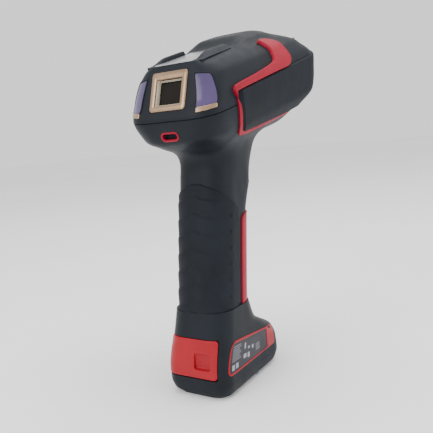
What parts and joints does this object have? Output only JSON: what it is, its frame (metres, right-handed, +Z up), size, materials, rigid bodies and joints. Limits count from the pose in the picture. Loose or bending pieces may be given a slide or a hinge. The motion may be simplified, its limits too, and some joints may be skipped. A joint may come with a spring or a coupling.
{
  "type": "handheld barcode scanner",
  "caption": "Rugged cordless pistol-grip barcode scanner with a trigger, a rear status window and a battery that slides out of its foot.",
  "frame": {"origin": "on the flat underside of the foot, on the centre plane, under the front of the handle", "axes": "+X towards what is scanned, +Y to the user's left, +Z up along the standing scanner"},
  "size_m": [0.1102, 0.0752, 0.1922],
  "materials": {
    "black_plastic": "fine textured moulded polycarbonate blend",
    "black_rubber": "matte overmoulded elastomer",
    "red_rubber": "satin overmoulded elastomer",
    "red_plastic": "satin moulded plastic",
    "bezel_metallic": "champagne metallic lacquer",
    "strip_silver": "silver lacquered plastic",
    "white_diffuser": "translucent white light guide",
    "violet_window": "tinted indicator window",
    "dark_window": "smoked display window",
    "scan_glass": "polished filter glass",
    "lens_glass": "coated optical glass",
    "label_black": "printed polyester label on a moulded plate",
    "steel": "zinc plated",
    "spring_steel": "drawn wire",
    "brass": "gold plated",
    "circuit_board": "solder masked glass laminate",
    "chip_black": "moulded epoxy",
    "shield_can": "tinned sheet",
    "battery_wrap": "shrink wrap on a steel can",
    "flex_amber": "polyimide film"
  },
  "bodies": {
    "housing": {"upper_housing": "black_plastic", "lower_housing": "black_plastic", "base_shroud": "black_plastic", "base_plate": "black_plastic", "grip_sleeve": "black_rubber", "front_strip": "red_rubber", "rear_bezel": "bezel_metallic", "bezel_liner": "white_diffuser", "status_window": "dark_window", "status_board": "circuit_board", "indicator_window_left": "violet_window", "indicator_window_right": "violet_window", "top_strip": "strip_silver", "lanyard_grommet": "red_rubber", "scan_window": "scan_glass", "side_trim_left": "red_rubber", "side_trim_right": "red_rubber", "nose_bumper": "black_rubber", "head_screws": "steel", "board_screws": "steel", "trigger_pin": "steel", "trigger_spring": "spring_steel", "trigger_switch": "chip_black", "contact_bulkhead": "black_plastic", "contact_pins": "brass", "base_screws": "steel", "charging_contacts": "brass", "label_frame_left": "red_plastic", "label_frame_right": "red_plastic", "label_plate_left": "label_black", "label_plate_right": "label_black", "latch_pin": "steel", "latch_spring": "spring_steel", "main_board": "circuit_board", "board_chips": "chip_black", "radio_module": "shield_can", "beeper": "chip_black", "scan_engine": "shield_can", "engine_lenses": "lens_glass", "engine_bracket": "black_plastic", "haptic_motor": "shield_can", "flex_cable": "flex_amber"},
    "trigger": {"trigger": "black_plastic"},
    "plunger": {"switch_plunger": "chip_black"},
    "battery": {"battery_case": "black_plastic", "battery_cap": "black_plastic", "battery_cell": "battery_wrap", "battery_contacts": "brass"},
    "latch": {"battery_latch": "red_plastic"},
    "haptic": {"haptic_weight": "steel"}
  },
  "joints": [
    {"name": "trigger_pull", "type": "hinge", "parent": "housing", "child": "trigger", "pos_m": [0.01298, 0, 0.12025], "axis": [0, 1, 0], "range_deg": [0, 5.5], "stiffness_Nm_per_rad": 0.3, "springref_deg": -5.73},
    {"name": "switch_press", "type": "slide", "parent": "housing", "child": "plunger", "axis": [-0.9877, 0, 0.1564], "range_m": [0, 0.0019]},
    {"name": "battery_slide", "type": "slide", "parent": "housing", "child": "battery", "axis": [-0.1564, 0, -0.9877], "range_m": [0, 0.11]},
    {"name": "latch_turn", "type": "hinge", "parent": "housing", "child": "latch", "pos_m": [-0.0312, 0, 0.013], "axis": [0, -1, 0], "range_deg": [0, 12], "stiffness_Nm_per_rad": 0.1, "springref_deg": -5.73},
    {"name": "haptic_spin", "type": "hinge", "parent": "housing", "child": "haptic", "pos_m": [0.01726, 0, 0.15806], "axis": [0, 1, 0], "continuous": true}
  ],
  "couplings": [
    {"joint": "switch_press", "follows": "trigger_pull", "m_per_rad": 0.019}
  ]
}
